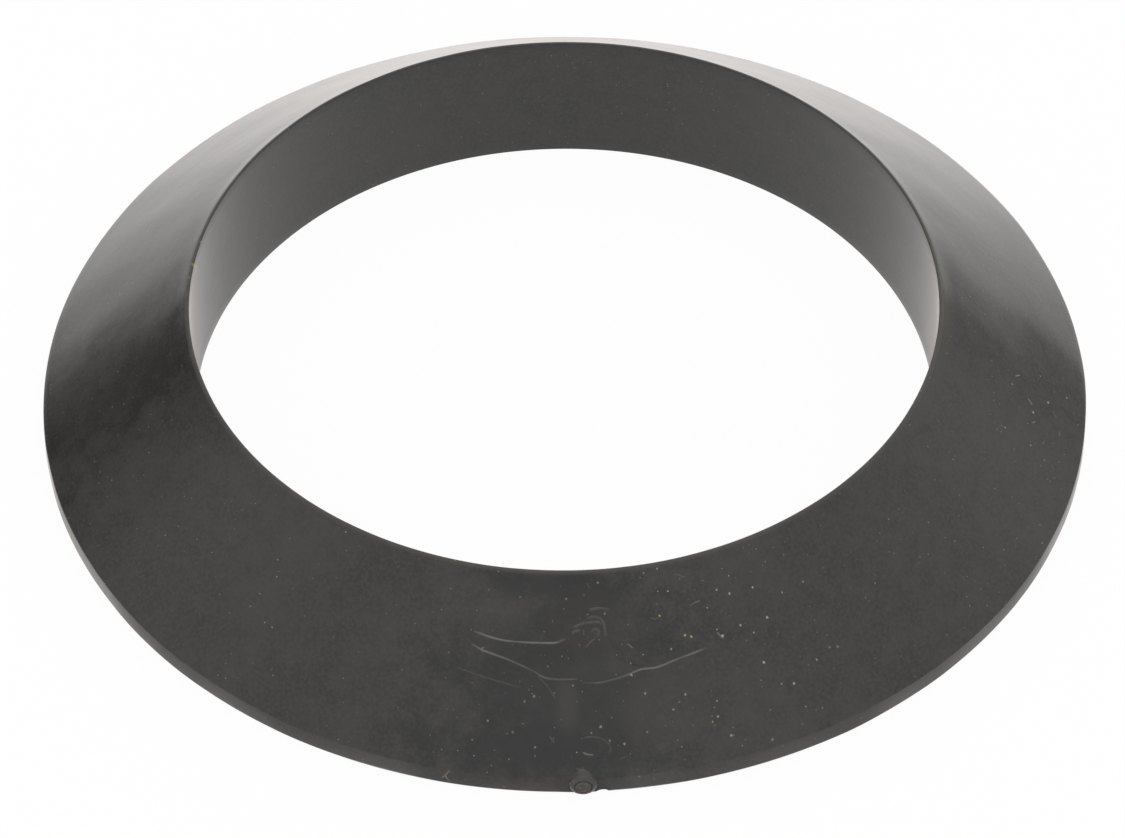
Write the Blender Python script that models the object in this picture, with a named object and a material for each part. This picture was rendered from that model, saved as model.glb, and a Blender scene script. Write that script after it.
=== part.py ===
"""Bevelled rubber gasket for a cistern outlet, moulded in one piece.

A ring with a straight bore, a narrow flat lip, a long sloping seal face, a short upright rim and
a flat base. The stub of the moulding gate stands on the rim at -Y, with a small nick beside it.
Metres, +Z up. The origin is the centre of the base, and the bore runs along Z.
"""

from math import cos, pi, radians, sin, tan

import bmesh
import bpy
from mathutils import Matrix, Vector

# Driving dimensions of the ring
OUTER_DIAMETER = 0.0889
BORE_DIAMETER = 0.0630
HEIGHT = 0.0127
RIM_HEIGHT = 0.0018
LIP_WIDTH = 0.0004
FACE_HOLLOW = 0.00015

# Rounding of its moulded edges, round the section from the lip
LIP_OUTER_ROUND = 0.00012
RIM_TOP_ROUND = 0.00020
RIM_BOTTOM_ROUND = 0.00030
BORE_BOTTOM_ROUND = 0.00010
LIP_INNER_ROUND = 0.00015

# Stub of the gate, where the rubber was fed into the mould
GATE_DIAMETER = 0.0022
GATE_STANDS_OUT = 0.00045
GATE_ROOT = 0.0015
GATE_BASE_GAP = 0.00005
GATE_END_ROUND = 0.00035

# Nick that trimming left in the rim's bottom edge, beside the gate
NICK_WIDTH = 0.0012
NICK_DEPTH = 0.0004
NICK_FROM_GATE = 0.0005

# Fineness of the round forms
RING_STEPS = 120
FACE_STEPS = 6
EDGE_STEPS = 2
GATE_END_STEPS = 3
GATE_STEPS = 28
NICK_STEPS = 20

RUBBER_COLOUR = (0.026, 0.025, 0.024, 1.0)
RUBBER_ROUGHNESS = 0.42

OUTER_RADIUS = OUTER_DIAMETER / 2
BORE_RADIUS = BORE_DIAMETER / 2
GATE_HEIGHT = GATE_DIAMETER / 2 + GATE_BASE_GAP


def clear_scene():
    """Take away whatever the new file holds."""
    for thing in list(bpy.data.objects):
        bpy.data.objects.remove(thing, do_unlink=True)


def rubber():
    """Black moulded rubber, slightly shiny."""
    material = bpy.data.materials.new("black_rubber")
    material.use_nodes = True
    shader = material.node_tree.nodes["Principled BSDF"]
    shader.inputs["Base Color"].default_value = RUBBER_COLOUR
    shader.inputs["Roughness"].default_value = RUBBER_ROUGHNESS
    shader.inputs["Metallic"].default_value = 0.0
    return material


def rounded_corner(before, corner, after, radius):
    """Points of an arc that rounds a corner of the section, from one side to the next."""
    back = before - corner
    ahead = after - corner
    half_turn = (pi - back.angle(ahead)) / 2
    longest = min(back.length, ahead.length) / 2
    reach = min(radius * tan(half_turn), longest)
    radius = reach / tan(half_turn)
    inward = (back.normalized() + ahead.normalized()).normalized()
    centre = corner + inward * (radius / cos(half_turn))
    points = []
    for step in range(EDGE_STEPS + 1):
        turn = half_turn * (2 * step / EDGE_STEPS - 1)
        toward_corner = -inward * cos(turn)
        along = (ahead.normalized() - back.normalized()).normalized() * sin(turn)
        points.append(centre + (toward_corner + along) * radius)
    return points


def hollowed_face(top, foot):
    """Points of the seal face between its ends, which dips a little below a straight line."""
    slope = foot - top
    downward = Vector((slope.y, -slope.x)).normalized()
    points = []
    for step in range(1, FACE_STEPS):
        share = step / FACE_STEPS
        dip = FACE_HOLLOW * 4 * share * (1 - share)
        points.append(top + slope * share + downward * dip)
    return points


def ring_section():
    """The closed section of the ring, from the lip down the outside and back up the bore."""
    lip_outer = Vector((BORE_RADIUS + LIP_WIDTH, HEIGHT))
    rim_top = Vector((OUTER_RADIUS, RIM_HEIGHT))
    rim_bottom = Vector((OUTER_RADIUS, 0.0))
    bore_bottom = Vector((BORE_RADIUS, 0.0))
    lip_inner = Vector((BORE_RADIUS, HEIGHT))
    lip_arc = rounded_corner(lip_inner, lip_outer, rim_top, LIP_OUTER_ROUND)
    rim_arc = rounded_corner(lip_outer, rim_top, rim_bottom, RIM_TOP_ROUND)
    return (
        lip_arc
        + hollowed_face(lip_arc[-1], rim_arc[0])
        + rim_arc
        + rounded_corner(rim_top, rim_bottom, bore_bottom, RIM_BOTTOM_ROUND)
        + rounded_corner(rim_bottom, bore_bottom, lip_inner, BORE_BOTTOM_ROUND)
        + rounded_corner(bore_bottom, lip_inner, lip_outer, LIP_INNER_ROUND)
    )


def ring():
    """The ring, its section turned round the bore's axis by a Screw modifier."""
    section = ring_section()
    count = len(section)
    mesh = bpy.data.meshes.new("gasket_ring")
    corners = [(point.x, 0.0, point.y) for point in section]
    sides = [(index, (index + 1) % count) for index in range(count)]
    mesh.from_pydata(corners, sides, [])
    body = bpy.data.objects.new("gasket_ring", mesh)
    bpy.context.collection.objects.link(body)
    turn = body.modifiers.new("turn", "SCREW")
    turn.axis = "Z"
    turn.angle = 2 * pi
    turn.steps = RING_STEPS
    turn.render_steps = RING_STEPS
    turn.use_merge_vertices = True
    turn.merge_threshold = 0.00001
    turn.use_smooth_shade = True
    return body


def tool(name, shape):
    """A hidden solid that a Boolean modifier joins to the ring or cuts out of it."""
    mesh = bpy.data.meshes.new(name)
    shape.to_mesh(mesh)
    shape.free()
    solid = bpy.data.objects.new(name, mesh)
    bpy.context.collection.objects.link(solid)
    solid.hide_render = True
    solid.display_type = "WIRE"
    return solid


def gate_stub():
    """A short round stub lying across the rim, its outer end softly rounded."""
    length = GATE_ROOT + GATE_STANDS_OUT
    radius = GATE_DIAMETER / 2
    shape = bmesh.new()
    bmesh.ops.create_cone(
        shape, cap_ends=True, segments=GATE_STEPS, radius1=radius, radius2=radius, depth=length
    )
    end_edges = [e for e in shape.edges if all(v.co.z > 0 for v in e.verts)]
    bmesh.ops.bevel(
        shape,
        geom=end_edges,
        offset=min(GATE_END_ROUND, GATE_STANDS_OUT, radius * 0.9),
        segments=GATE_END_STEPS,
        profile=0.5,
        affect="EDGES",
    )
    lay_flat = Matrix.Rotation(radians(90), 4, "X")
    bmesh.ops.transform(shape, matrix=lay_flat, verts=shape.verts)
    stub = tool("gate_stub", shape)
    stub.location = (0.0, -(OUTER_RADIUS + GATE_STANDS_OUT - length / 2), GATE_HEIGHT)
    return stub


def nick_cutter():
    """A small egg on the rim's bottom edge, which bites the nick out."""
    shape = bmesh.new()
    bmesh.ops.create_uvsphere(
        shape, u_segments=NICK_STEPS, v_segments=NICK_STEPS // 2, radius=1.0
    )
    stretch = Matrix.Diagonal((NICK_WIDTH / 2, NICK_DEPTH, NICK_DEPTH, 1.0))
    bmesh.ops.transform(shape, matrix=stretch, verts=shape.verts)
    cutter = tool("nick_cutter", shape)
    side = GATE_DIAMETER / 2 + NICK_FROM_GATE
    rim_there = (OUTER_RADIUS**2 - side**2) ** 0.5
    cutter.location = (side, -rim_there, 0.0)
    return cutter


def combine(body, solid, operation):
    """Join a solid to the body, or cut it away."""
    step = body.modifiers.new(solid.name, "BOOLEAN")
    step.object = solid
    step.operation = operation
    step.solver = "EXACT"


def build():
    """Make the gasket."""
    clear_scene()
    body = ring()
    body.data.materials.append(rubber())
    combine(body, gate_stub(), "UNION")
    combine(body, nick_cutter(), "DIFFERENCE")


build()
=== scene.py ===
"""Looks of the rubber gasket: one black moulded ring, lying on a white studio floor.

Places on the ring are given as the photograph shows them: how many degrees they lie past the gate,
to the right as one faces it, and how far they lie down the seal face from the lip, in millimetres.
"""

from math import atan2, cos, hypot, pi, radians, sin, tan

import bpy
from mathutils import Matrix, Vector, kdtree, noise


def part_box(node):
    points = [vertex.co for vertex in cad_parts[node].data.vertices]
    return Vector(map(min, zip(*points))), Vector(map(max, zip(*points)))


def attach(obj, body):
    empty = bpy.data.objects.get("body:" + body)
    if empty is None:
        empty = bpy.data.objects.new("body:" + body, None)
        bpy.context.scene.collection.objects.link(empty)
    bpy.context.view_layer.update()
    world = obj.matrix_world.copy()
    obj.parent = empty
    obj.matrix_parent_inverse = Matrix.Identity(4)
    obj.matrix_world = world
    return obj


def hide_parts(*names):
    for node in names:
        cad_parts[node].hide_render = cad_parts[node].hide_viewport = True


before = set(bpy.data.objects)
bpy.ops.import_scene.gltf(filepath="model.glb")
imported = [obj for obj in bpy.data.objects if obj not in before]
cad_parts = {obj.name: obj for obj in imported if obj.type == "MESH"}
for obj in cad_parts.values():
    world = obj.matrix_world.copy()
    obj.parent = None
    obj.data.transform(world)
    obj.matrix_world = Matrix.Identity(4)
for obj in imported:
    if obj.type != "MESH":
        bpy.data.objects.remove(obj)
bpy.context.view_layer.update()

MM = 0.001

# The ring's sizes: the overall ones come from the frame, the others from the photograph
ring_low, ring_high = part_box("gasket_ring")
OUTER_RADIUS = ring_high[0]
HEIGHT = ring_high[2]
GATE_STANDS_OUT = -ring_low[1] - OUTER_RADIUS
BORE_RADIUS = 31.5 * MM
RIM_HEIGHT = 1.8 * MM
LIP_WIDTH = 0.24 * MM
FACE_HOLLOW = 0.04 * MM
LIP_OUTER_ROUND = 0.20 * MM
LIP_INNER_ROUND = 0.15 * MM
RIM_TOP_ROUND = 0.20 * MM
RIM_BOTTOM_ROUND = 0.30 * MM
BORE_BOTTOM_ROUND = 0.10 * MM
RING_STEPS = 360
SLOPE_CUTS = 40
BORE_CUTS = 12
BASE_CUTS = 6
GATE_DIAMETER = 2.2 * MM
GATE_ROOT = 1.5 * MM
GATE_BASE_GAP = 0.05 * MM
GATE_HEIGHT = GATE_DIAMETER / 2 + GATE_BASE_GAP
GATE_END_ROUND = 0.42 * MM
TORN_RINGS = 5
TORN_HEIGHT = 0.80 * MM
TORN_RADIUS = 0.80 * MM
TORN_DEPTH = 0.03 * MM
PIT_DEPTH = 0.10 * MM
GATE_STEP = 0.05 * MM
GATE_STEPS = 64
GATE_END_STEPS = 8
TORN_PITS_PER_MM = 4.0
NICK_WIDTH = 1.2 * MM
NICK_DEPTH = 0.4 * MM
NICK_FROM_GATE = 0.5 * MM
NICK_STEPS = 48
EDGE_STEPS = 5
SHARPEST_SMOOTHED = radians(40)

# How near a point has to be to count as lying on a corner, an end or a straight side
CORNER_TOUCH = 0.01 * MM
SIDE_TOUCH = 0.002 * MM
SIDE_END = 0.0001

# The photograph's camera, which stands a little to the left of the gate
CAMERA_DISTANCE = 562.7 * MM
CAMERA_ELEVATION = radians(45.397)
CAMERA_PAST_GATE = radians(-1.7)
CAMERA_AIM = Vector((-0.19 * MM, -2.04 * MM, 0.0))
CAMERA_ROLL = radians(-0.35)
CAMERA_LENS = 210.74
CAMERA_SENSOR = 36.0
CAMERA_NEAREST = 10 * MM
CAMERA_FARTHEST = 20.0

# Soft light from the front and above, a dimmer room behind, and lamps low at the back and overhead
LIGHT_TURN = radians(14)
LIGHT_ELEVATION = radians(45)
LIGHT_EDGE_DARK = -0.45
LIGHT_EDGE_BRIGHT = 0.15
ROOM_LIGHT = 0.10
STUDIO_LIGHT = 0.92
BACK_LIGHT = 4.2
BACK_LIGHT_ELEVATION = radians(6)
BACK_LIGHT_TIGHTNESS = 22.0
OVERHEAD_LIGHT = 1.2
OVERHEAD_ELEVATION = radians(78)
OVERHEAD_TIGHTNESS = 25.0
FLOOR_GLOW = 0.96
FLOOR_SIZE = 8.0
FLOOR_WHITE = (0.85, 0.85, 0.85, 1)
FLOOR_ROUGHNESS = 0.9

# Marks of the moulding on the seal face near the gate, as (degrees past the gate, mm down the face)
WELD_LINES = (
    ((-13.7, 5.35), (-9.8, 5.79), (-4.5, 5.80), (-2.9, 5.74), (-1.9, 5.48)),
    ((-13.7, 6.39), (-12.4, 6.74), (-10.6, 7.03), (-8.5, 7.40), (-5.9, 8.06), (-3.9, 8.66), (-0.4, 8.71)),
    ((-12.1, 6.56), (-12.5, 6.72), (-12.1, 6.86)),
    (
        (0.3, 9.00),
        (2.0, 9.08),
        (3.8, 8.91),
        (5.6, 8.65),
        (7.5, 8.30),
        (9.5, 8.30),
        (12.1, 7.93),
        (15.9, 7.53),
    ),
)
FAINT_LINES = (
    ((-15.4, 8.40), (-12.9, 8.74), (-11.1, 8.98), (-7.2, 9.45)),
    ((-5.1, 8.53), (-3.8, 9.40), (-3.0, 10.3)),
    ((2.0, 5.50), (1.4, 5.79), (0.9, 6.09)),
    ((0.2, 13.50), (1.2, 13.38), (2.4, 13.70), (3.1, 14.27), (2.9, 14.80)),
    ((-3.6, 13.29), (-3.1, 13.77)),
    ((4.1, 15.32), (4.8, 15.11)),
)
CRACKS = (((6.4, 7.80), (7.2, 8.00), (8.0, 8.08)),)
WHORL_ARCS = (
    ((1.1, 3.86), (2.2, 3.78), (3.1, 4.07), (3.4, 4.67), (3.4, 5.36)),
    ((-0.7, 4.58), (0.2, 4.34), (1.4, 4.20), (2.6, 4.21), (3.0, 4.37)),
    ((1.5, 3.21), (2.8, 3.10), (4.2, 3.27)),
    ((-0.9, 5.10), (-0.6, 4.90), (0.1, 4.80)),
    ((1.6, 5.00), (2.1, 4.75), (2.6, 4.95), (2.4, 5.30)),
)
FIBRES = (
    ((0.1, 14.64), (0.6, 14.80), (1.1, 14.83)),
    ((-14.8, 17.77), (-14.4, 17.35), (-14.0, 16.77)),
    ((-14.5, 17.45), (-14.0, 18.15)),
    ((1.3, 1.00), (1.7, 1.34)),
    ((0.6, 4.72), (0.62, 5.15)),
    ((10.5, 3.65), (10.4, 4.11)),
    ((12.7, 4.56), (12.4, 4.75), (11.9, 4.94)),
    ((16.6, 3.70), (15.9, 3.75), (15.2, 3.90)),
    ((14.1, 1.18), (14.6, 1.30), (15.2, 1.55)),
    ((17.8, 6.53), (18.3, 7.09)),
    ((9.7, 4.27), (10.1, 4.42), (10.5, 4.37)),
    ((6.2, 6.13), (6.7, 6.47)),
    ((76.5, 11.0), (77.0, 11.3)),
    ((79.8, 10.2), (79.3, 10.7)),
    ((80.6, 13.0), (80.1, 13.5)),
    ((74.8, 12.6), (75.4, 12.7)),
    ((82.0, 8.6), (82.6, 9.0)),
    ((77.8, 14.1), (78.4, 14.0)),
    ((72.5, 14.4), (72.9, 14.0)),
)
LINE_STEP = 0.04 * MM
TAPER_SHARE = 1 / 8
TIP_STRENGTH = 0.3
SWELL_LEAST = 0.75
SWELL_MORE = 0.5
SWELLS_PER_METRE = 900
LINE_REACH = 0.13 * MM
RIDGE_HEIGHT = 0.045 * MM
CRACK_DEPTH = 0.09 * MM
REFINE_STEPS = (0.75 * MM, 0.42 * MM, 0.28 * MM, 0.20 * MM)

# Each kind of mark: its lines, how far it reaches in parts of the line reach, and how high it stands
MARKS = (
    ("weld_line", WELD_LINES, 1.0, RIDGE_HEIGHT),
    ("faint_line", FAINT_LINES, 1.0, RIDGE_HEIGHT * 0.4),
    ("crack", CRACKS, 1.1, -CRACK_DEPTH),
    ("whorl", WHORL_ARCS, 1.5, RIDGE_HEIGHT),
    ("fibre", FIBRES, 0.8, RIDGE_HEIGHT * 0.6),
)

# Slight unevenness of the moulded faces, always inwards
WAVE_DEPTH = 0.10 * MM
WAVES_ROUND = 7.0
WAVES_DOWN = 0.16
RIPPLE_DEPTH = 0.012 * MM
RIPPLES_PER_MM = 0.8
BORE_EVENNESS = 0.75
BORE_FADE = 1.0 * MM
FLAT_BELOW = 0.02 * MM

# Colours of the rubber and of what lies on it
BLACK_DEEP = (0.0150, 0.0140, 0.0134, 1)
BLACK_DUSTY = (0.0300, 0.0272, 0.0258, 1)
# The next colour serves the dark stains near the gate and also the painted shade on the seal face at the
# left
DARK_STAIN_AND_SHADE = (0.0035, 0.0034, 0.0032, 1)
HAZE = (0.037, 0.034, 0.032, 1)
PALE_STAIN = (0.040, 0.038, 0.035, 1)
BROWN = (0.075, 0.040, 0.022, 1)
SCRAPE_BROWN = (0.16, 0.070, 0.028, 1)
WELD_GREY = (0.200, 0.190, 0.170, 1)
WHORL_BROWN = (0.110, 0.088, 0.075, 1)
PALE_LINT = (0.36, 0.31, 0.25, 1)
GOLDEN_DUST = (0.38, 0.27, 0.12, 1)
PALE_DUST = (0.42, 0.39, 0.34, 1)
OLIVE = (0.20, 0.19, 0.02, 1)
TORN_BROWN = (0.085, 0.058, 0.046, 1)
# The next colour is painted shade, laid in the crevice round the stub, in the crack and in the torn pits
CREVICE_SHADE = (0.002, 0.002, 0.002, 1)
# The next grey is the dust on the lip and also the painted highlight on the stub's top
LIP_DUST_AND_HIGHLIGHT_GREY = (0.060, 0.055, 0.050, 1)
LIP_OLIVE = (0.060, 0.053, 0.033, 1)
SHEEN_TINT = (1.0, 0.94, 0.91, 1)

# Gloss: how rough each face is, and how much stains, breaks and the stub change that
FACE_ROUGHNESS = 0.20
BORE_ROUGHNESS = 0.38
RIM_ROUGHNESS = 0.62
MOTTLE_SMOOTHER = -0.02
MOTTLE_ROUGHER = 0.03
DULL_ROUGHER = 0.25
BUTTON_SMOOTHER = 0.30
SHEEN_ROUGHNESS = 0.3
BUMP_STRENGTH = 0.35
BUMP_DEPTH = 0.017 * MM
MIDDLE_BUMP = 1.5

# Sizes of the mottling and of finer spots, in patches per metre
BROAD_SCALE = 130.0
MIDDLE_SCALE = 620.0
FINE_SCALE = 3200.0
OLIVE_SPOT_SCALE = 2200.0
LIP_SPOT_SCALE = 1500.0
TORN_PIT_SCALE = 4200.0
FINE_DETAIL = 3.0
PATCH_BREAKUP = 3.0

# Where one face of the ring gives way to the next, in mm down the face, out from the bore's axis or up
FACE_EDGE = (-0.10, 0.15)
RIM_EDGE = (OUTER_RADIUS / MM - 0.12, OUTER_RADIUS / MM - 0.02)
BORE_EDGE = (BORE_RADIUS / MM + 0.10, BORE_RADIUS / MM + 0.02)
BASE_EDGE = (0.03, 0.0)
LIP_BAND = (0.40, 0.05)
RIM_FOOT = (0.75, 0.15)
# Heights over which the painted highlight on the stub's top comes in
BUTTON_HIGHLIGHT_TOP = (1.2, 1.9)

# How far in and out from the rim the stub's painted shade and painted highlight reach, and where its torn
# part starts
GATE_REACH_IN = 0.8 * MM
GATE_REACH_OUT = 0.10 * MM
TORN_STARTS_OUT = 0.12 * MM

# How strongly each thing shows over the rubber
GRAIN_STRENGTH = 0.60
PALE_STRENGTH = 0.60
WHORL_STAIN_STRENGTH = 0.08
FAINT_LINE_STRENGTH = 0.32
WELD_LINE_STRENGTH = 0.80
WHORL_STRENGTH = 0.45
LINT_STRENGTH = 0.65
LIP_STRENGTH = 0.50
LIP_OLIVE_STRENGTH = 0.35
SCRAPE_STRENGTH = 0.80
# Strength of the painted highlight on the stub's top
BUTTON_HIGHLIGHT_STRENGTH = 0.60
TORN_STRENGTH = 0.75
# Strength of the painted shade in the pits of the torn face
PIT_SHADE_STRENGTH = 0.70
# Strength of the painted shade where the stub meets the rim
CREVICE_SHADE_STRENGTH = 0.70
THIN_DUST_LEAST = 0.15
THIN_DUST_MOST = 0.60
THICK_DUST_STRENGTH = 0.85

# Dust: cells per metre, a speck's size in parts of a cell, and the share of the cells that hold one
THIN_DUST = {"Cells": 1800.0, "Size": 0.11, "Share": 0.70}
THICK_DUST = {"Cells": 1000.0, "Size": 0.12, "Share": 0.85}
DUST_BEND_SCALE = 6000.0
DUST_BEND = 0.12 * MM

# Stains, and one painted shade, as middle and half size in degrees past the gate and mm down the face, and
# how strong
DARK_PATCHES = (
    (-4.5, 1.2, 10.0, 1.5, 0.75),
    (-4.0, 7.0, 5.5, 2.2, 0.75),
    (1.0, 3.6, 6.0, 2.8, 0.75),
    (-6.0, 14.4, 10.5, 2.6, 0.80),
    (3.6, 13.8, 2.6, 3.4, 0.70),
    (-2.0, 9.5, 13.0, 7.5, 0.65),
    # Painted shade, standing in for a dark reflection on the seal face at the left
    (-86.0, 9.0, 9.0, 14.0, 0.60),
)
PALE_PATCHES = (
    (-1.6, 10.6, 1.3, 1.8, 0.7),
    (9.5, 11.4, 5.0, 2.6, 0.6),
    (2.5, 8.0, 4.0, 0.9, 0.35),
    (-11.0, 4.0, 3.5, 2.2, 0.3),
)
WHORL_PATCH = ((1.2, 4.2, 4.2, 1.9, 1.0),)
RIGHT_LIP_PATCH = ((103.0, 0.5, 30.0, 1.1, 1.0),)
OLIVE_RIM_PATCH = ((-66.0, 18.3, 14.0, 1.3, 1.0),)
OLIVE_LIP_PATCH = ((-100.0, 0.0, 7.0, 0.5, 1.0),)
SCRAPE_PATCH = ((4.3, 18.6, 1.4, 0.5, 1.0),)

# Where dust has gathered, given the same way
DUSTY_PATCHES = (
    (17.0, 7.0, 14.0, 9.0, 1.0),
    (78.0, 12.0, 7.0, 5.0, 1.0),
    (4.0, 12.0, 14.0, 6.0, 0.6),
)

# Edges that carry a brown tint: how far out and up they are, the tint's width in mm, and how strong
TINTED_EDGES = (
    (OUTER_RADIUS, RIM_HEIGHT, 0.28, 0.30),
    (OUTER_RADIUS, 0.0, 0.38, 0.45),
    (BORE_RADIUS + LIP_WIDTH, HEIGHT, 0.26, 0.45),
)


def nothing_selected():
    """Deselect every object."""
    bpy.ops.object.select_all(action="DESELECT")


def only(piece):
    """Make one object the active and only selected one."""
    nothing_selected()
    piece.select_set(True)
    bpy.context.view_layer.objects.active = piece


def pick(piece, kind, wanted):
    """Select the vertices, edges or faces of a piece that a test picks, and no others."""
    bpy.ops.object.mode_set(mode="EDIT")
    bpy.ops.mesh.select_mode(type=kind)
    bpy.ops.mesh.select_all(action="DESELECT")
    bpy.ops.object.mode_set(mode="OBJECT")
    mesh = piece.data
    parts = {"VERT": mesh.vertices, "EDGE": mesh.edges, "FACE": mesh.polygons}[kind]
    for part in parts:
        part.select = bool(wanted(part))
    bpy.ops.object.mode_set(mode="EDIT")


def near(vertex, x, z):
    """Whether a vertex of the section lies at a corner."""
    return hypot(vertex.co.x - x, vertex.co.z - z) < CORNER_TOUCH


def camera():
    """The camera at the photograph's viewing angle."""
    spin = Matrix.Rotation(CAMERA_PAST_GATE, 3, "Z")
    level = CAMERA_DISTANCE * cos(CAMERA_ELEVATION)
    place = spin @ Vector((0.0, -level, CAMERA_DISTANCE * sin(CAMERA_ELEVATION)))
    aim = spin @ CAMERA_AIM
    bpy.ops.object.camera_add(location=place)
    eye = bpy.context.object
    eye.name = "photo_camera"
    look = (aim - place).to_track_quat("-Z", "Y").to_matrix()
    eye.rotation_euler = (look @ Matrix.Rotation(CAMERA_ROLL, 3, "Z")).to_euler()
    eye.data.lens = CAMERA_LENS
    eye.data.sensor_width = CAMERA_SENSOR
    eye.data.clip_start = CAMERA_NEAREST
    eye.data.clip_end = CAMERA_FARTHEST
    bpy.context.scene.camera = eye


def section():
    """The ring's section as a flat face beside the bore's axis, its corners rounded."""
    width = OUTER_RADIUS - BORE_RADIUS
    nothing_selected()
    bpy.ops.mesh.primitive_plane_add(
        size=1.0, location=(BORE_RADIUS + width / 2, 0, HEIGHT / 2), rotation=(pi / 2, 0, 0)
    )
    piece = bpy.context.object
    piece.name = "gasket_rubber"
    piece.scale = (width, HEIGHT, 1.0)
    bpy.ops.object.transform_apply(location=True, rotation=True, scale=True)
    lip_x = BORE_RADIUS + LIP_WIDTH
    drop = HEIGHT - RIM_HEIGHT
    run = OUTER_RADIUS - lip_x
    pick(piece, "VERT", lambda v: True)
    bpy.ops.mesh.bisect(
        plane_co=(lip_x, 0, HEIGHT), plane_no=(drop, 0, run), clear_outer=True, threshold=1e-7
    )
    slope = slope_angle()
    corners = (
        (lip_x, HEIGHT, slope, LIP_OUTER_ROUND),
        (OUTER_RADIUS, RIM_HEIGHT, pi / 2 - slope, RIM_TOP_ROUND),
        (OUTER_RADIUS, 0.0, pi / 2, RIM_BOTTOM_ROUND),
        (BORE_RADIUS, 0.0, pi / 2, BORE_BOTTOM_ROUND),
        (BORE_RADIUS, HEIGHT, pi / 2, LIP_INNER_ROUND),
    )
    bpy.ops.object.mode_set(mode="OBJECT")
    for x, z, turn, radius in corners:
        pick(piece, "VERT", lambda v, x=x, z=z: near(v, x, z))
        bpy.ops.mesh.bevel(affect="VERTICES", offset=radius * tan(turn / 2), segments=EDGE_STEPS)
        bpy.ops.object.mode_set(mode="OBJECT")
    return piece


def slope_angle():
    """How steeply the seal face falls from the lip to the rim."""
    return atan2(HEIGHT - RIM_HEIGHT, OUTER_RADIUS - BORE_RADIUS - LIP_WIDTH)


def slope_ends():
    """The two ends of the seal face on the section, between its rounded edges."""
    lip_x = BORE_RADIUS + LIP_WIDTH
    slope = slope_angle()
    top_back = LIP_OUTER_ROUND * tan(slope / 2)
    foot_back = RIM_TOP_ROUND * tan((pi / 2 - slope) / 2)
    downhill = Vector((cos(slope), 0, -sin(slope)))
    top = Vector((lip_x, 0, HEIGHT)) + downhill * top_back
    foot = Vector((OUTER_RADIUS, 0, RIM_HEIGHT)) - downhill * foot_back
    return top, foot


def share_along(point, top, foot):
    """How far a point is from one end of a line to the other, or None if it is off the line."""
    line = foot - top
    share = (point - top).dot(line) / line.length_squared
    off = (point - top - line * share).length
    return share if off < SIDE_TOUCH and -SIDE_END < share < 1 + SIDE_END else None


def divide_side(piece, top, foot, cuts):
    """Cut one straight side of the section into equal steps."""
    mesh = piece.data

    def on_side(edge):
        ends = [mesh.vertices[index].co for index in edge.vertices]
        return all(share_along(end, top, foot) is not None for end in ends)

    pick(piece, "EDGE", on_side)
    bpy.ops.mesh.subdivide(number_cuts=cuts)
    bpy.ops.object.mode_set(mode="OBJECT")


def hollow_the_slope(piece):
    """Move the steps of the seal face a little inwards, most in the middle."""
    top, foot = slope_ends()
    inward = (foot - top).cross(Vector((0, 1, 0))).normalized()
    if inward.z > 0:
        inward = -inward
    shares = [share_along(v.co, top, foot) for v in piece.data.vertices]
    for vertex, share in zip(piece.data.vertices, shares):
        if share is not None:
            vertex.co += inward * FACE_HOLLOW * 4 * share * (1 - share)


def turned(piece):
    """Spin the section's outline into the closed ring."""
    pick(piece, "FACE", lambda f: True)
    bpy.ops.mesh.delete(type="ONLY_FACE")
    bpy.ops.mesh.select_mode(type="VERT")
    bpy.ops.mesh.select_all(action="SELECT")
    bpy.ops.mesh.spin(steps=RING_STEPS, angle=2 * pi, center=(0, 0, 0), axis=(0, 0, 1))
    bpy.ops.mesh.select_all(action="SELECT")
    bpy.ops.mesh.remove_doubles(threshold=SIDE_TOUCH / 2)
    bpy.ops.mesh.normals_make_consistent(inside=False)
    bpy.ops.object.mode_set(mode="OBJECT")


def place_on_ring(past_gate, down):
    """The point of the seal face, or of the rim below it, at a place given as in the photograph."""
    length = hypot(HEIGHT - RIM_HEIGHT, OUTER_RADIUS - BORE_RADIUS - LIP_WIDTH)
    down = down * MM
    share = min(down / length, 1.0)
    dip = FACE_HOLLOW * 4 * share * (1 - share)
    fall = slope_angle()
    radius = BORE_RADIUS + LIP_WIDTH + share * length * cos(fall) - dip * sin(fall)
    height = HEIGHT - share * length * sin(fall) - dip * cos(fall) - max(down - length, 0.0)
    turn = radians(past_gate - 90)
    return Vector((radius * cos(turn), radius * sin(turn), height))


def between(before, start, end, after, share):
    """A number on the smooth curve through four others, some share of the way from start to end."""
    lead = (end - before) * share
    bend = (2 * before - 5 * start + 4 * end - after) * share**2
    twist = (3 * start - before - 3 * end + after) * share**3
    return (2 * start + lead + bend + twist) / 2


def smooth_line(points):
    """Closely spaced points of the ring along a smooth line through a few places."""
    ends = [points[0]] + list(points) + [points[-1]]
    line = []
    for before, start, end, after in zip(ends, ends[1:], ends[2:], ends[3:]):
        span = (place_on_ring(*end) - place_on_ring(*start)).length
        steps = max(int(span / LINE_STEP), 1)
        for step in range(steps):
            place = [between(*four, step / steps) for four in zip(before, start, end, after)]
            line.append(place_on_ring(*place))
    line.append(place_on_ring(*points[-1]))
    return line


def line_tree(lines):
    """A search tree over every point of some lines, with how far along its line each point is."""
    points = []
    for line in lines:
        dense = smooth_line(line)
        points += [(point, index / len(dense)) for index, point in enumerate(dense)]
    tree = kdtree.KDTree(len(points))
    for index, (point, share) in enumerate(points):
        tree.insert(point, index)
    tree.balance()
    return tree, [share for point, share in points]


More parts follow.
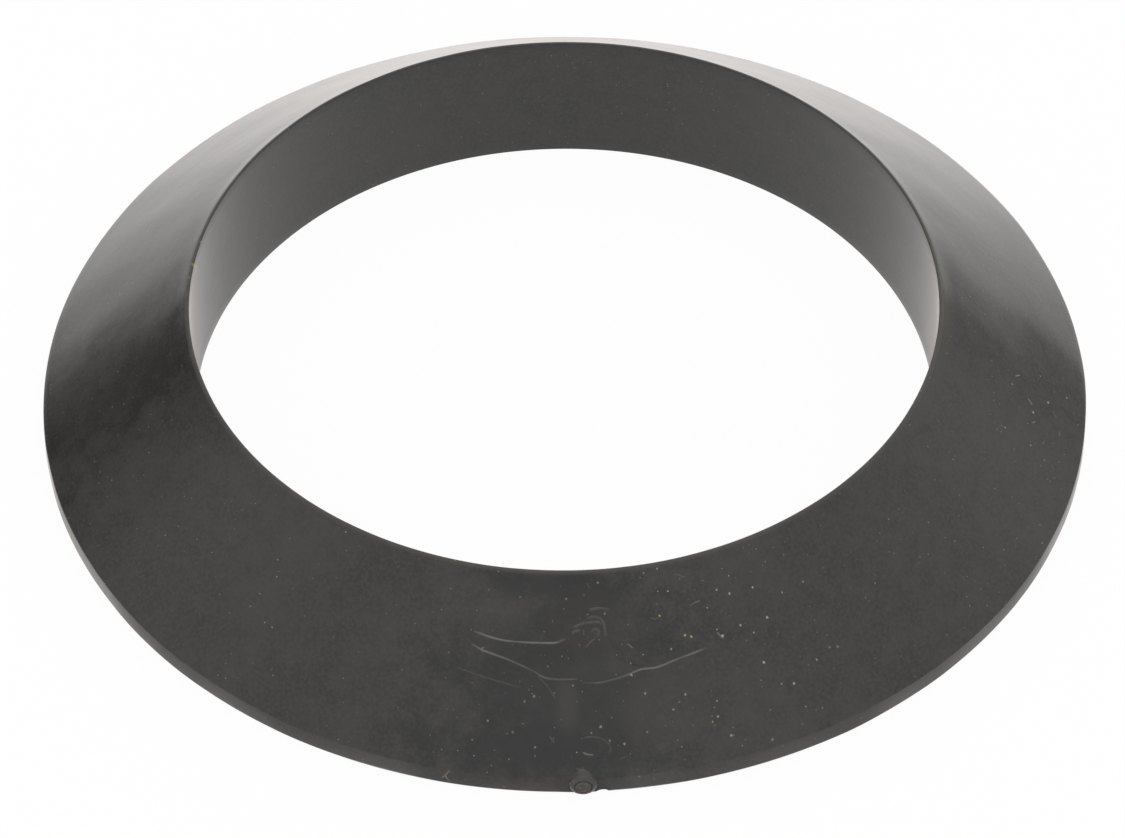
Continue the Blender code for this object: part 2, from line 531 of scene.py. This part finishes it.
def strength_at(point, tree, shares, reach):
    """How strongly a line marks a point: 1 on the line, fading to 0 at its reach and at its ends."""
    nearest, index, distance = tree.find(point)
    if distance > reach:
        return 0.0
    share = shares[index]
    taper = min(1.0, share / TAPER_SHARE, (1 - share) / TAPER_SHARE)
    strength = TIP_STRENGTH + (1 - TIP_STRENGTH) * taper
    swell = SWELL_LEAST + SWELL_MORE * noise.noise(point * SWELLS_PER_METRE)
    return strength * swell * (1 - (distance / reach) ** 2) ** 2


def refine_along(piece, tree):
    """Divide the faces along the marks again and again, so that they can carry fine lines."""
    for reach in REFINE_STEPS:
        pick(piece, "FACE", lambda f: tree.find(f.center)[2] < reach)
        bpy.ops.mesh.subdivide(number_cuts=1)
        bpy.ops.object.mode_set(mode="OBJECT")


def mark(piece, name, lines, reach, lift):
    """Raise or sink the piece along some lines, and keep their strength in a named attribute."""
    tree, shares = line_tree(lines)
    strengths = [strength_at(vertex.co, tree, shares, reach) for vertex in piece.data.vertices]
    kept = piece.data.attributes.new(name, "FLOAT", "POINT")
    kept.data.foreach_set("value", strengths)
    group = piece.vertex_groups.new(name=name + "_lift")
    for index, strength in enumerate(strengths):
        if strength > 0:
            group.add([index], min(strength, 1.0), "REPLACE")
    step = piece.modifiers.new(group.name, "DISPLACE")
    step.strength = lift
    step.mid_level = 0.0
    step.vertex_group = group.name
    only(piece)
    bpy.ops.object.modifier_apply(modifier=step.name)


def moulding_marks(piece):
    """The weld lines, crack, whorl and lint near the gate."""
    every_line = [line for name, lines, reach, lift in MARKS for line in lines]
    refine_along(piece, line_tree(every_line)[0])
    for name, lines, reach, lift in MARKS:
        mark(piece, name, lines, LINE_REACH * reach, lift)
    piece.vertex_groups.clear()


def unevenness(point):
    """How much of the unevenness a point gets: little in the bore, and none on the stub."""
    from_bore = (hypot(point.x, point.y) - BORE_RADIUS) / BORE_FADE
    share = 1 - BORE_EVENNESS * (1 - min(max(from_bore, 0.0), 1.0))
    if point.y < 0:
        from_gate = hypot(point.x, point.z - GATE_HEIGHT) / (GATE_DIAMETER / 2)
        share *= min(max(from_gate - 1.0, 0.0), 1.0)
    return share


def uneven(piece):
    """Let the moulded faces wave and ripple a little, inwards only, while the base stays flat."""
    normals = [vertex.normal.copy() for vertex in piece.data.vertices]
    for vertex, normal in zip(piece.data.vertices, normals):
        if vertex.co.z < FLAT_BELOW:
            continue
        turn = atan2(vertex.co.y, vertex.co.x)
        down = hypot(HEIGHT - vertex.co.z, hypot(vertex.co.x, vertex.co.y) - BORE_RADIUS) / MM
        around = Vector((cos(turn), sin(turn), 0)) * WAVES_ROUND
        wave = 0.5 + 0.5 * noise.noise(around + Vector((0, 0, down * WAVES_DOWN)))
        ripple = 0.5 + 0.5 * noise.noise(vertex.co / MM * RIPPLES_PER_MM)
        vertex.co -= normal * (WAVE_DEPTH * wave + RIPPLE_DEPTH * ripple) * unevenness(vertex.co)
        vertex.co.y = max(vertex.co.y, -(OUTER_RADIUS + GATE_STANDS_OUT))


def shape_end(stub):
    """Make the stub's end a low dome, sunk and dimpled low down, where the runner was torn off."""
    for vertex in stub.data.vertices:
        if -vertex.co.y < OUTER_RADIUS:
            continue
        from_middle = hypot(vertex.co.x, vertex.co.z - GATE_HEIGHT) / (GATE_DIAMETER / 2)
        dome = max(1 - from_middle**2, 0.0) ** 0.5
        outer = GATE_STEP + (GATE_STANDS_OUT - GATE_STEP) * dome
        across = hypot(vertex.co.x, vertex.co.z - TORN_HEIGHT) / TORN_RADIUS
        bowl = max(1 - across**2, 0.0)
        pit = 0.5 + 0.5 * noise.noise(vertex.co / MM * TORN_PITS_PER_MM)
        vertex.co.y = -(OUTER_RADIUS + outer - bowl * (TORN_DEPTH + PIT_DEPTH * pit))


def gate_stub():
    """The short stub of the moulding gate, lying across the rim with a rounded, torn end."""
    radius = GATE_DIAMETER / 2
    length = GATE_ROOT + GATE_STANDS_OUT
    nothing_selected()
    bpy.ops.mesh.primitive_cylinder_add(
        vertices=GATE_STEPS,
        radius=radius,
        depth=length,
        location=(0, -(OUTER_RADIUS + GATE_STANDS_OUT - length / 2), GATE_HEIGHT),
        rotation=(pi / 2, 0, 0),
    )
    stub = bpy.context.object
    stub.name = "gate_stub"
    bpy.ops.object.transform_apply(location=True, rotation=True, scale=True)
    end = -(OUTER_RADIUS + GATE_STANDS_OUT)
    mesh = stub.data
    pick(
        stub,
        "EDGE",
        lambda e: all(mesh.vertices[i].co.y < end + CORNER_TOUCH for i in e.vertices),
    )
    bpy.ops.mesh.bevel(affect="EDGES", offset=GATE_END_ROUND, segments=GATE_END_STEPS, profile=0.5)
    bpy.ops.object.mode_set(mode="OBJECT")
    pick(stub, "FACE", lambda f: f.center.y < end + CORNER_TOUCH)
    for ring_inwards in range(TORN_RINGS):
        bpy.ops.mesh.inset(thickness=(radius - GATE_END_ROUND) / (TORN_RINGS + 1))
    bpy.ops.object.mode_set(mode="OBJECT")
    shape_end(stub)
    return stub


def nick():
    """A small egg on the rim's bottom edge, which bites the nick out."""
    side = GATE_DIAMETER / 2 + NICK_FROM_GATE
    nothing_selected()
    bpy.ops.mesh.primitive_uv_sphere_add(
        segments=NICK_STEPS,
        ring_count=NICK_STEPS // 2,
        radius=1.0,
        location=(side, -((OUTER_RADIUS**2 - side**2) ** 0.5), 0),
    )
    egg = bpy.context.object
    egg.name = "nick_cutter"
    egg.scale = (NICK_WIDTH / 2, NICK_DEPTH, NICK_DEPTH)
    bpy.ops.object.transform_apply(location=True, rotation=True, scale=True)
    return egg


def combine(piece, other, operation):
    """Join another solid to the piece, or cut it away, and take the other solid out."""
    only(piece)
    step = piece.modifiers.new(other.name, "BOOLEAN")
    step.object = other
    step.operation = operation
    step.solver = "EXACT"
    bpy.ops.object.modifier_apply(modifier=step.name)
    bpy.data.objects.remove(other, do_unlink=True)


def gasket():
    """The whole moulded ring with its gate stub and nick."""
    piece = section()
    top, foot = slope_ends()
    divide_side(piece, top, foot, SLOPE_CUTS)
    hollow_the_slope(piece)
    bore_top = Vector((BORE_RADIUS, 0, HEIGHT - LIP_INNER_ROUND))
    bore_foot = Vector((BORE_RADIUS, 0, BORE_BOTTOM_ROUND))
    divide_side(piece, bore_top, bore_foot, BORE_CUTS)
    base_in = Vector((BORE_RADIUS + BORE_BOTTOM_ROUND, 0, 0))
    base_out = Vector((OUTER_RADIUS - RIM_BOTTOM_ROUND, 0, 0))
    divide_side(piece, base_in, base_out, BASE_CUTS)
    turned(piece)
    combine(piece, gate_stub(), "UNION")
    combine(piece, nick(), "DIFFERENCE")
    uneven(piece)
    moulding_marks(piece)
    only(piece)
    bpy.ops.object.shade_smooth_by_angle(angle=SHARPEST_SMOOTHED)
    return piece


def feed(tree, socket, value):
    """Feed a node's socket from another socket, or set it to a plain value."""
    if isinstance(value, bpy.types.NodeSocket):
        tree.links.new(value, socket)
    else:
        socket.default_value = value


def calc(tree, operation, *values):
    """The result of one Math node."""
    node = tree.nodes.new("ShaderNodeMath")
    node.operation = operation
    for socket, value in zip(node.inputs, values):
        feed(tree, socket, value)
    return node.outputs[0]


def fade(tree, value, start, end, low=0.0, high=1.0):
    """A soft step of a value from one level to another, between a start and an end."""
    node = tree.nodes.new("ShaderNodeMapRange")
    node.interpolation_type = "SMOOTHSTEP"
    feed(tree, node.inputs["Value"], value)
    feed(tree, node.inputs["From Min"], start)
    feed(tree, node.inputs["From Max"], end)
    feed(tree, node.inputs["To Min"], low)
    feed(tree, node.inputs["To Max"], high)
    return node.outputs["Result"]


def mixed(tree, share, first, second):
    """One colour mixed into another by a share."""
    node = tree.nodes.new("ShaderNodeMix")
    node.data_type = "RGBA"
    feed(tree, node.inputs["Factor"], share)
    feed(tree, node.inputs[6], first)
    feed(tree, node.inputs[7], second)
    return node.outputs[2]


def cloud(tree, place, scale, detail=2.0):
    """Soft noise between 0 and 1, of a scale in patches per metre."""
    node = tree.nodes.new("ShaderNodeTexNoise")
    feed(tree, node.inputs["Vector"], place)
    feed(tree, node.inputs["Scale"], scale)
    feed(tree, node.inputs["Detail"], detail)
    return node.outputs[0]


def length_of(tree, first, second):
    """The length of the long side of a right angle, from its two short sides."""
    first = calc(tree, "MULTIPLY", first, first)
    second = calc(tree, "MULTIPLY", second, second)
    return calc(tree, "SQRT", calc(tree, "ADD", first, second))


def node_group(name, inputs, outputs):
    """An empty shader group with named sockets."""
    tree = bpy.data.node_groups.new(name, "ShaderNodeTree")
    for socket, kind in inputs:
        tree.interface.new_socket(socket, in_out="INPUT", socket_type=kind)
    for socket, kind in outputs:
        tree.interface.new_socket(socket, in_out="OUTPUT", socket_type=kind)
    given = tree.nodes.new("NodeGroupInput").outputs
    result = tree.nodes.new("NodeGroupOutput").inputs
    return tree, given, result


def use_group(tree, group, **values):
    """Place a group in a node tree, with its own values, and give its outputs."""
    node = tree.nodes.new("ShaderNodeGroup")
    node.node_tree = group
    for name, value in values.items():
        feed(tree, node.inputs[name.replace("_", " ")], value)
    return node.outputs


NUMBER = "NodeSocketFloat"
VECTOR = "NodeSocketVector"


def ring_place_group():
    """Where a point lies on the ring: degrees past the gate, and mm out, up and down the face."""
    tree, given, result = node_group(
        "ring_place",
        [("Position", VECTOR)],
        [("Past gate", NUMBER), ("Out", NUMBER), ("Up", NUMBER), ("Down", NUMBER)],
    )
    parts = tree.nodes.new("ShaderNodeSeparateXYZ")
    feed(tree, parts.inputs[0], given["Position"])
    x, y, z = parts.outputs
    back = calc(tree, "MULTIPLY", y, -1.0)
    angle = calc(tree, "DEGREES", calc(tree, "ARCTAN2", x, back))
    out = calc(tree, "DIVIDE", length_of(tree, x, y), MM)
    up = calc(tree, "DIVIDE", z, MM)
    fall = slope_angle()
    beyond = calc(tree, "SUBTRACT", out, (BORE_RADIUS + LIP_WIDTH) / MM)
    below = calc(tree, "SUBTRACT", HEIGHT / MM, up)
    down = calc(
        tree,
        "ADD",
        calc(tree, "MULTIPLY", beyond, cos(fall)),
        calc(tree, "MULTIPLY", below, sin(fall)),
    )
    tree.links.new(angle, result["Past gate"])
    tree.links.new(out, result["Out"])
    tree.links.new(up, result["Up"])
    tree.links.new(down, result["Down"])
    return tree


def patch_group():
    """A soft oval patch: 1 in its middle, fading to 0 at its edge, its outline broken by noise."""
    inputs = ("Across", "Along", "Across middle", "Along middle", "Half across", "Half along", "Softness")
    tree, given, result = node_group(
        "soft_patch",
        [(name, NUMBER) for name in inputs] + [("Noise", NUMBER)],
        [("Mask", NUMBER)],
    )
    across = calc(tree, "SUBTRACT", given["Across"], given["Across middle"])
    along = calc(tree, "SUBTRACT", given["Along"], given["Along middle"])
    across = calc(tree, "DIVIDE", across, given["Half across"])
    along = calc(tree, "DIVIDE", along, given["Half along"])
    broken = calc(tree, "MULTIPLY", calc(tree, "SUBTRACT", given["Noise"], 0.5), PATCH_BREAKUP)
    away = calc(tree, "ADD", length_of(tree, across, along), broken)
    inner = calc(tree, "SUBTRACT", 1.0, given["Softness"])
    outer = calc(tree, "ADD", 1.0, given["Softness"])
    tree.links.new(fade(tree, away, outer, inner), result["Mask"])
    return tree


def edge_group():
    """A line along a moulded edge of the ring: 1 on the edge, fading to 0 a little way off."""
    tree, given, result = node_group(
        "edge_line",
        [(name, NUMBER) for name in ("Out", "Up", "Edge out", "Edge up", "Width")],
        [("Mask", NUMBER)],
    )
    out = calc(tree, "SUBTRACT", given["Out"], given["Edge out"])
    up = calc(tree, "SUBTRACT", given["Up"], given["Edge up"])
    away = length_of(tree, out, up)
    tree.links.new(fade(tree, away, given["Width"], 0.0), result["Mask"])
    return tree


def dust_group():
    """Scattered specks of dust: a mask, and a shade that differs from speck to speck."""
    tree, given, result = node_group(
        "dust_specks",
        [("Position", VECTOR), ("Cells", NUMBER), ("Size", NUMBER), ("Share", NUMBER)],
        [("Mask", NUMBER), ("Shade", NUMBER)],
    )
    bend = tree.nodes.new("ShaderNodeTexNoise")
    feed(tree, bend.inputs["Vector"], given["Position"])
    bend.inputs["Scale"].default_value = DUST_BEND_SCALE
    shift = tree.nodes.new("ShaderNodeVectorMath")
    shift.operation = "MULTIPLY_ADD"
    tree.links.new(bend.outputs["Color"], shift.inputs[0])
    shift.inputs[1].default_value = (DUST_BEND, DUST_BEND, DUST_BEND)
    tree.links.new(given["Position"], shift.inputs[2])
    cells = tree.nodes.new("ShaderNodeTexVoronoi")
    tree.links.new(shift.outputs[0], cells.inputs["Vector"])
    tree.links.new(given["Cells"], cells.inputs["Scale"])
    random = tree.nodes.new("ShaderNodeSeparateColor")
    tree.links.new(cells.outputs["Color"], random.inputs[0])
    red, green, blue = random.outputs
    size = calc(tree, "MULTIPLY", given["Size"], calc(tree, "ADD", 0.4, green))
    speck = fade(tree, cells.outputs["Distance"], size, calc(tree, "MULTIPLY", size, 0.4))
    kept = calc(tree, "LESS_THAN", red, given["Share"])
    tree.links.new(calc(tree, "MULTIPLY", speck, kept), result["Mask"])
    tree.links.new(blue, result["Shade"])
    return tree


def patches(tree, guide, places, softness):
    """Several soft patches together: the strongest of them at each point."""
    total = 0.0
    for across, along, half_across, half_along, strength in places:
        mask = use_group(
            tree,
            guide["patch"],
            Across=guide["ring"]["Past gate"],
            Along=guide["ring"]["Down"],
            Across_middle=across,
            Along_middle=along,
            Half_across=half_across,
            Half_along=half_along,
            Softness=softness,
            Noise=guide["broken"],
        )["Mask"]
        total = calc(tree, "MAXIMUM", total, calc(tree, "MULTIPLY", mask, strength))
    return total


def mark_strength(tree, name):
    """How strongly a mark shows, from the attribute that the mesh keeps under its name."""
    node = tree.nodes.new("ShaderNodeAttribute")
    node.attribute_name = name
    return node.outputs["Fac"]


def paint(tree, colour, over, mask, strength):
    """One colour laid over another where a mask says so, at a strength."""
    return mixed(tree, calc(tree, "MULTIPLY", mask, strength), colour, over)


def all_of(tree, *masks):
    """Where several masks hold at once."""
    total = masks[0]
    for mask in masks[1:]:
        total = calc(tree, "MULTIPLY", total, mask)
    return total


def blend_of(tree, *weighted):
    """Several values added up, each with its own weight."""
    total = 0.0
    for value, weight in weighted:
        total = calc(tree, "ADD", total, calc(tree, "MULTIPLY", value, weight))
    return total


def finish_guide(tree):
    """What every part of the finish reads: the place on the ring, the mottling and the shared groups."""
    place = tree.nodes.new("ShaderNodeTexCoord").outputs["Object"]
    broad = cloud(tree, place, BROAD_SCALE)
    middle = cloud(tree, place, MIDDLE_SCALE, FINE_DETAIL)
    fine = cloud(tree, place, FINE_SCALE, FINE_DETAIL)
    ring = use_group(tree, ring_place_group(), Position=place)
    return {
        "place": place,
        "ring": ring,
        "broad": broad,
        "middle": middle,
        "fine": fine,
        "blotch": blend_of(tree, (broad, 0.5), (middle, 0.5)),
        "broken": blend_of(tree, (middle, 0.5), (broad, 0.3), (fine, 0.2)),
        "patch": patch_group(),
        "face": fade(tree, ring["Down"], *FACE_EDGE),
        "on_rim": fade(tree, ring["Out"], *RIM_EDGE),
        "in_bore": fade(tree, ring["Out"], *BORE_EDGE),
        "underneath": fade(tree, ring["Up"], *BASE_EDGE),
    }


def mottled_body(tree, guide):
    """The body colour, a little blotchy at three scales."""
    colour = mixed(tree, fade(tree, guide["blotch"], 0.32, 0.68), BLACK_DEEP, BLACK_DUSTY)
    grain = fade(tree, guide["fine"], 0.35, 0.68)
    return paint(tree, colour, HAZE, grain, GRAIN_STRENGTH)


def flow_stains(tree, colour, guide):
    """Stains and haze that the flow of the rubber left near the gate, and painted shade, standing in for a
    dark reflection, on the seal face at the left.
    """
    dark = patches(tree, guide, DARK_PATCHES, 0.60)
    pale = patches(tree, guide, PALE_PATCHES, 0.50)
    whorl = patches(tree, guide, WHORL_PATCH, 0.40)
    # Dark stains near the gate, and painted shade standing in for a dark reflection at the left
    colour = mixed(tree, all_of(tree, dark, guide["face"]), colour, DARK_STAIN_AND_SHADE)
    colour = paint(tree, colour, PALE_STAIN, pale, PALE_STRENGTH)
    return paint(tree, colour, BROWN, whorl, WHORL_STAIN_STRENGTH)


def raised_marks(tree, colour):
    """Lines, whorl and lint in their own colours, and painted shade in the crack, where the mesh carries
    them.
    """
    colour = paint(tree, colour, WELD_GREY, mark_strength(tree, "faint_line"), FAINT_LINE_STRENGTH)
    colour = paint(tree, colour, WELD_GREY, mark_strength(tree, "weld_line"), WELD_LINE_STRENGTH)
    colour = paint(tree, colour, WHORL_BROWN, mark_strength(tree, "whorl"), WHORL_STRENGTH)
    # Painted shade in the crack
    colour = mixed(tree, mark_strength(tree, "crack"), colour, CREVICE_SHADE)
    return paint(tree, colour, PALE_LINT, mark_strength(tree, "fibre"), LINT_STRENGTH)


def tinted_edges(tree, colour, guide):
    """A brown tint along the edges, worn through in places."""
    edge = edge_group()
    ring = guide["ring"]
    worn = fade(tree, guide["blotch"], 0.44, 0.64)
    for out, up, width, strength in TINTED_EDGES:
        line = use_group(
            tree, edge, Out=ring["Out"], Up=ring["Up"], Edge_out=out / MM, Edge_up=up / MM, Width=width
        )["Mask"]
        colour = paint(tree, colour, BROWN, all_of(tree, line, worn), strength)
    return colour


def dusty_lip(tree, colour, guide):
    """The dusty band along the lip, thickest on the right, with the band's own mask."""
    band = fade(tree, guide["ring"]["Down"], *LIP_BAND)
    band = all_of(tree, band, fade(tree, guide["in_bore"], 1.0, 0.0))
    colour = paint(tree, colour, LIP_DUST_AND_HIGHLIGHT_GREY, band, LIP_STRENGTH)
    right = patches(tree, guide, RIGHT_LIP_PATCH, 0.5)
    return paint(tree, colour, LIP_OLIVE, right, LIP_OLIVE_STRENGTH), band


def olive_stains(tree, colour, guide):
    """The olive stain low on the rim at the left, specks of it on the lip, and the rim stain's mask."""
    place = guide["place"]
    stain = patches(tree, guide, OLIVE_RIM_PATCH, 0.5)
    low = fade(tree, guide["ring"]["Up"], *RIM_FOOT)
    spots = fade(tree, cloud(tree, place, OLIVE_SPOT_SCALE, FINE_DETAIL), 0.45, 0.60)
    stain = all_of(tree, stain, low, spots)
    colour = mixed(tree, stain, colour, OLIVE)
    on_lip = patches(tree, guide, OLIVE_LIP_PATCH, 0.4)
    on_lip = all_of(tree, on_lip, fade(tree, cloud(tree, place, LIP_SPOT_SCALE), 0.60, 0.68))
    return mixed(tree, on_lip, colour, OLIVE), stain


def scraped_edge(tree, colour, guide):
    """The brown scrape on the bottom edge just past the nick."""
    scrape = patches(tree, guide, SCRAPE_PATCH, 0.4)
    return paint(tree, colour, SCRAPE_BROWN, scrape, SCRAPE_STRENGTH)


def gate_finish(tree, colour, guide):
    """Painted shade in the crevice round the stub, a painted highlight on the button's top and a brownish
    break with painted shade in its pits, with their masks.
    """
    parts = tree.nodes.new("ShaderNodeSeparateXYZ")
    tree.links.new(guide["place"], parts.inputs[0])
    x, y, z = parts.outputs
    up = guide["ring"]["Up"]
    radius = GATE_DIAMETER / 2
    rise = calc(tree, "DIVIDE", calc(tree, "SUBTRACT", z, GATE_HEIGHT), radius)
    from_stub = length_of(tree, calc(tree, "DIVIDE", x, radius), rise)
    gate_side = calc(tree, "LESS_THAN", y, -(OUTER_RADIUS - GATE_REACH_IN))
    near_rim = calc(tree, "GREATER_THAN", y, -(OUTER_RADIUS + GATE_REACH_OUT))
    # Painted shade where the stub meets the rim
    below_edge = fade(tree, up, RIM_HEIGHT / MM, RIM_HEIGHT / MM - 0.3, 0.0, CREVICE_SHADE_STRENGTH)
    ring_round = all_of(tree, fade(tree, from_stub, 0.94, 1.00), fade(tree, from_stub, 1.14, 1.02))
    crevice = all_of(tree, ring_round, below_edge, gate_side, near_rim)
    colour = mixed(tree, crevice, colour, CREVICE_SHADE)

    rise = calc(tree, "DIVIDE", calc(tree, "SUBTRACT", z, TORN_HEIGHT), TORN_RADIUS)
    from_break = length_of(tree, calc(tree, "DIVIDE", x, TORN_RADIUS), rise)
    on_end = calc(tree, "LESS_THAN", y, -(OUTER_RADIUS + TORN_STARTS_OUT))
    torn = all_of(tree, fade(tree, from_break, 1.10, 0.85), on_end)
    button = all_of(tree, fade(tree, from_stub, 1.04, 1.01), gate_side)
    upper = fade(tree, up, *BUTTON_HIGHLIGHT_TOP)
    # Painted highlight on the stub's upper part
    colour = paint(tree, colour, LIP_DUST_AND_HIGHLIGHT_GREY, all_of(tree, button, upper), BUTTON_HIGHLIGHT_STRENGTH)
    colour = paint(tree, colour, TORN_BROWN, torn, TORN_STRENGTH)
    # Painted shade in the pits of the torn face
    solid = fade(tree, cloud(tree, guide["place"], TORN_PIT_SCALE, FINE_DETAIL), 0.44, 0.56)
    holes = all_of(tree, torn, calc(tree, "SUBTRACT", 1.0, solid))
    return paint(tree, colour, CREVICE_SHADE, holes, PIT_SHADE_STRENGTH), button, torn


def dusted(tree, colour, guide):
    """Dust, thinly everywhere and thicker in a few places."""
    dust = dust_group()
    thin = use_group(tree, dust, Position=guide["place"], **THIN_DUST)
    thin_strength = fade(tree, guide["broad"], 0.3, 0.7, THIN_DUST_LEAST, THIN_DUST_MOST)
    shade = mixed(tree, thin["Shade"], PALE_DUST, GOLDEN_DUST)
    colour = mixed(tree, all_of(tree, thin["Mask"], thin_strength), colour, shade)
    dusty = patches(tree, guide, DUSTY_PATCHES, 0.6)
    thick = use_group(tree, dust, Position=guide["place"], **THICK_DUST)
    shade = mixed(tree, thick["Shade"], PALE_DUST, GOLDEN_DUST)
    return paint(tree, colour, shade, all_of(tree, thick["Mask"], dusty), THICK_DUST_STRENGTH)


def gloss(tree, guide, lip, stain, button, torn):
    """How rough the rubber is: least on the seal face, more on the walls, most on stains and the break."""
    inner = calc(tree, "MAXIMUM", guide["in_bore"], lip)
    roughness = fade(tree, inner, 0.0, 1.0, FACE_ROUGHNESS, BORE_ROUGHNESS)
    walls = calc(tree, "MAXIMUM", guide["on_rim"], guide["underneath"])
    mottle = fade(tree, guide["blotch"], 0.3, 0.7, MOTTLE_SMOOTHER, MOTTLE_ROUGHER)
    whorl = mark_strength(tree, "whorl")
    dull = calc(tree, "MAXIMUM", torn, calc(tree, "MAXIMUM", whorl, stain))
    changes = blend_of(
        tree,
        (walls, RIM_ROUGHNESS - FACE_ROUGHNESS),
        (mottle, 1.0),
        (dull, DULL_ROUGHER),
        (button, -BUTTON_SMOOTHER),
    )
    return calc(tree, "ADD", roughness, changes)


def rubber():
    """Black moulded rubber with flow marks and stains near the gate, tinted edges and dust, and painted
    shade and highlight in a few places.
    """
    finish = bpy.data.materials.new("moulded_rubber")
    finish.use_nodes = True
    tree = finish.node_tree
    shader = tree.nodes["Principled BSDF"]
    guide = finish_guide(tree)
    colour = mottled_body(tree, guide)
    colour = flow_stains(tree, colour, guide)
    colour = raised_marks(tree, colour)
    colour = tinted_edges(tree, colour, guide)
    colour, lip = dusty_lip(tree, colour, guide)
    colour, stain = olive_stains(tree, colour, guide)
    colour = scraped_edge(tree, colour, guide)
    colour, button, torn = gate_finish(tree, colour, guide)
    colour = dusted(tree, colour, guide)
    tree.links.new(colour, shader.inputs["Base Color"])
    tree.links.new(gloss(tree, guide, lip, stain, button, torn), shader.inputs["Roughness"])
    shader.inputs["Sheen Weight"].default_value = 1.0
    shader.inputs["Sheen Roughness"].default_value = SHEEN_ROUGHNESS
    shader.inputs["Sheen Tint"].default_value = SHEEN_TINT

    bump = tree.nodes.new("ShaderNodeBump")
    bump.inputs["Strength"].default_value = BUMP_STRENGTH
    bump.inputs["Distance"].default_value = BUMP_DEPTH
    height = calc(tree, "ADD", guide["fine"], calc(tree, "MULTIPLY", guide["middle"], MIDDLE_BUMP))
    tree.links.new(height, bump.inputs["Height"])
    tree.links.new(bump.outputs[0], shader.inputs["Normal"])
    return finish


def floor():
    """The white studio floor, which shows white behind the ring and keeps its faint shadow."""
    nothing_selected()
    bpy.ops.mesh.primitive_plane_add(size=FLOOR_SIZE, location=(0, 0, 0))
    ground = bpy.context.object
    ground.name = "studio_floor"
    paint = bpy.data.materials.new("white_floor")
    paint.use_nodes = True
    tree = paint.node_tree
    shader = tree.nodes["Principled BSDF"]
    shader.inputs["Base Color"].default_value = FLOOR_WHITE
    shader.inputs["Roughness"].default_value = FLOOR_ROUGHNESS
    glow = tree.nodes.new("ShaderNodeEmission")
    path = tree.nodes.new("ShaderNodeLightPath")
    seen = calc(tree, "MAXIMUM", path.outputs["Is Camera Ray"], path.outputs["Is Glossy Ray"])
    seen = calc(tree, "MAXIMUM", seen, path.outputs["Is Transmission Ray"])
    mix = tree.nodes.new("ShaderNodeMixShader")
    tree.links.new(calc(tree, "MULTIPLY", seen, FLOOR_GLOW), mix.inputs[0])
    tree.links.new(shader.outputs[0], mix.inputs[1])
    tree.links.new(glow.outputs[0], mix.inputs[2])
    tree.links.new(mix.outputs[0], tree.nodes["Material Output"].inputs["Surface"])
    ground.data.materials.append(paint)


def toward_sky(turn, elevation):
    """The direction of a place in the sky, from how far it is turned to the right and how high it is."""
    return (cos(elevation) * sin(turn), -cos(elevation) * cos(turn), sin(elevation))


def lamp_glow(tree, direction, lamp_direction, strength, tightness):
    """The light of one soft lamp in the sky, brightest in its own direction."""
    near_lamp = tree.nodes.new("ShaderNodeVectorMath")
    near_lamp.operation = "DOT_PRODUCT"
    tree.links.new(direction, near_lamp.inputs[0])
    near_lamp.inputs[1].default_value = lamp_direction
    fall = calc(tree, "MULTIPLY", calc(tree, "SUBTRACT", near_lamp.outputs["Value"], 1.0), tightness)
    return calc(tree, "MULTIPLY", calc(tree, "EXPONENT", fall), strength)


def lights():
    """Soft studio light from the front and above, a dimmer room behind, and the two lamps."""
    world = bpy.data.worlds.new("studio")
    bpy.context.scene.world = world
    world.use_nodes = True
    tree = world.node_tree
    lamp = tree.nodes["Background"]
    lamp.inputs["Color"].default_value = (1, 1, 1, 1)
    toward = tree.nodes.new("ShaderNodeVectorMath")
    toward.operation = "DOT_PRODUCT"
    direction = tree.nodes.new("ShaderNodeTexCoord").outputs["Generated"]
    tree.links.new(direction, toward.inputs[0])
    toward.inputs[1].default_value = toward_sky(LIGHT_TURN, LIGHT_ELEVATION)
    front = toward.outputs["Value"]
    soft = fade(tree, front, LIGHT_EDGE_DARK, LIGHT_EDGE_BRIGHT, ROOM_LIGHT, STUDIO_LIGHT)
    back = toward_sky(pi, BACK_LIGHT_ELEVATION)
    above = toward_sky(0.0, OVERHEAD_ELEVATION)
    back_glow = lamp_glow(tree, direction, back, BACK_LIGHT, BACK_LIGHT_TIGHTNESS)
    above_glow = lamp_glow(tree, direction, above, OVERHEAD_LIGHT, OVERHEAD_TIGHTNESS)
    soft = calc(tree, "ADD", soft, back_glow)
    soft = calc(tree, "ADD", soft, above_glow)
    path = tree.nodes.new("ShaderNodeLightPath")
    white = calc(tree, "MAXIMUM", path.outputs["Is Camera Ray"], path.outputs["Is Transmission Ray"])
    feed(tree, lamp.inputs["Strength"], fade(tree, white, 0.0, 1.0, soft, 1.0))


ring = gasket()
ring.data.materials.clear()
ring.data.materials.append(rubber())
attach(ring, "root")
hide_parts("gasket_ring")
floor()
lights()
camera()
bpy.context.scene.view_settings.view_transform = "Standard"
